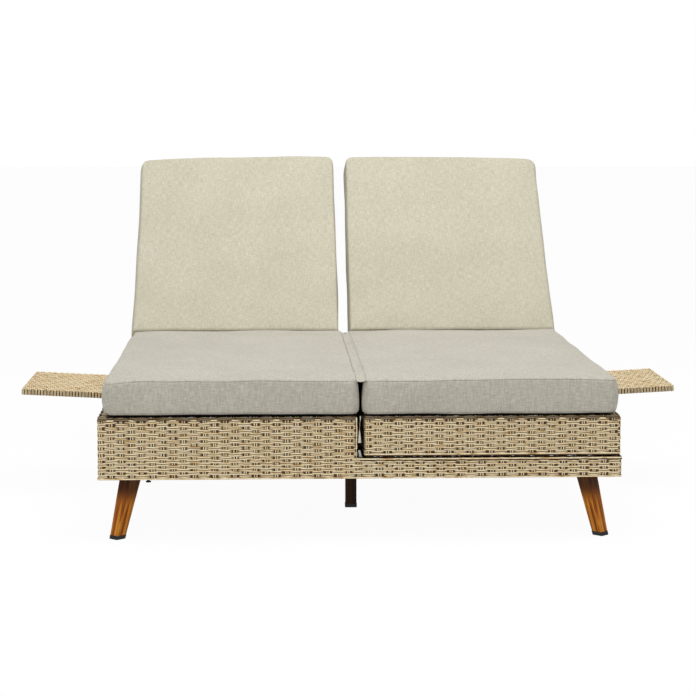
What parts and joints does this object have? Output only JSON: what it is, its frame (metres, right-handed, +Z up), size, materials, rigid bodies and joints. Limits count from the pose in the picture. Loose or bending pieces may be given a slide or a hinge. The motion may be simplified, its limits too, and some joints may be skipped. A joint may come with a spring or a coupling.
{
  "type": "double chaise lounger",
  "caption": "Low wide woven outdoor lounger on splayed wooden legs, with paired reclining backs, thick cushions, a lift-off half and slide-out side trays.",
  "frame": {"origin": "on the floor, under the middle of the lounger", "axes": "+X to the right seen from the foot end, +Y to the rear where the backs are, +Z up"},
  "size_m": [1.9517, 2, 0.9678],
  "materials": {
    "wicker": "woven half-round strand, matt, blended tan",
    "seat_fabric": "heathered linen weave",
    "back_fabric": "heathered linen weave",
    "webbing": "woven seat webbing",
    "acacia": "oiled",
    "dark_wood": "dark stain",
    "black_plastic": "moulded",
    "frame_steel": "powder coat",
    "zinc": "zinc plated"
  },
  "bodies": {
    "base": {"base_long_tubes": "frame_steel", "base_cross_tubes": "frame_steel", "leg_plates": "frame_steel", "leg_bolts": "zinc", "locating_tabs": "zinc", "module_pads": "black_plastic", "foot_caps": "black_plastic", "centre_legs": "dark_wood", "low_rail_weave": "wicker", "front_left_leg": "acacia", "front_right_leg": "acacia", "rear_left_leg": "acacia", "rear_right_leg": "acacia", "left_long_tubes": "frame_steel", "left_cross_tubes": "frame_steel", "left_posts": "frame_steel", "left_front_weave": "wicker", "left_rear_weave": "wicker", "left_inner_weave": "wicker", "left_side_weave": "wicker", "left_seat_deck": "webbing", "left_seat_cushion": "seat_fabric", "left_hinge_brackets": "frame_steel", "left_hinge_pins": "zinc", "left_rack": "frame_steel", "left_tray_guides": "frame_steel"},
    "right_seat": {"right_long_tubes": "frame_steel", "right_cross_tubes": "frame_steel", "right_posts": "frame_steel", "right_front_weave": "wicker", "right_rear_weave": "wicker", "right_inner_weave": "wicker", "right_side_weave": "wicker", "right_seat_deck": "webbing", "right_seat_cushion": "seat_fabric", "right_hinge_brackets": "frame_steel", "right_hinge_pins": "zinc", "right_rack": "frame_steel", "right_tray_guides": "frame_steel", "joining_strip": "seat_fabric"},
    "left_back": {"left_back_side_tubes": "frame_steel", "left_back_cross_tubes": "frame_steel", "left_back_panel": "wicker", "left_back_cushion": "back_fabric", "left_stay_lugs": "frame_steel"},
    "left_stay": {"left_stay_arms": "frame_steel", "left_stay_pins": "zinc", "left_stay_foot_bar": "frame_steel"},
    "left_tray": {"left_tray_frame": "frame_steel", "left_tray_weave": "wicker"},
    "right_back": {"right_back_side_tubes": "frame_steel", "right_back_cross_tubes": "frame_steel", "right_back_panel": "wicker", "right_back_cushion": "back_fabric", "right_stay_lugs": "frame_steel"},
    "right_stay": {"right_stay_arms": "frame_steel", "right_stay_pins": "zinc", "right_stay_foot_bar": "frame_steel"},
    "right_tray": {"right_tray_frame": "frame_steel", "right_tray_weave": "wicker"}
  },
  "joints": [
    {"name": "right_seat_lift", "type": "slide", "parent": "base", "child": "right_seat", "axis": [0, 0, 1], "range_m": [0, 0.24]},
    {"name": "left_back_recline", "type": "hinge", "parent": "base", "child": "left_back", "pos_m": [-0.354, 0.225, 0.32], "axis": [1, 0, 0], "range_deg": [-48, 10]},
    {"name": "left_stay_fold", "type": "hinge", "parent": "left_back", "child": "left_stay", "pos_m": [-0.354, 0.42574, 0.54294], "axis": [1, 0, 0], "range_deg": [-18.5, 88.5]},
    {"name": "left_tray_slide", "type": "slide", "parent": "base", "child": "left_tray", "axis": [0.9986, 0, -0.0523], "range_m": [0, 0.26]},
    {"name": "right_back_recline", "type": "hinge", "parent": "right_seat", "child": "right_back", "pos_m": [0.354, 0.225, 0.32], "axis": [1, 0, 0], "range_deg": [-48, 10]},
    {"name": "right_stay_fold", "type": "hinge", "parent": "right_back", "child": "right_stay", "pos_m": [0.354, 0.42574, 0.54294], "axis": [1, 0, 0], "range_deg": [-18.5, 88.5]},
    {"name": "right_tray_slide", "type": "slide", "parent": "right_seat", "child": "right_tray", "axis": [-0.9986, 0, -0.0523], "range_m": [0, 0.26]}
  ],
  "couplings": [
    {"joint": "left_stay_fold", "follows": "left_back_recline", "ratio": -1.84},
    {"joint": "right_stay_fold", "follows": "right_back_recline", "ratio": -1.84}
  ]
}
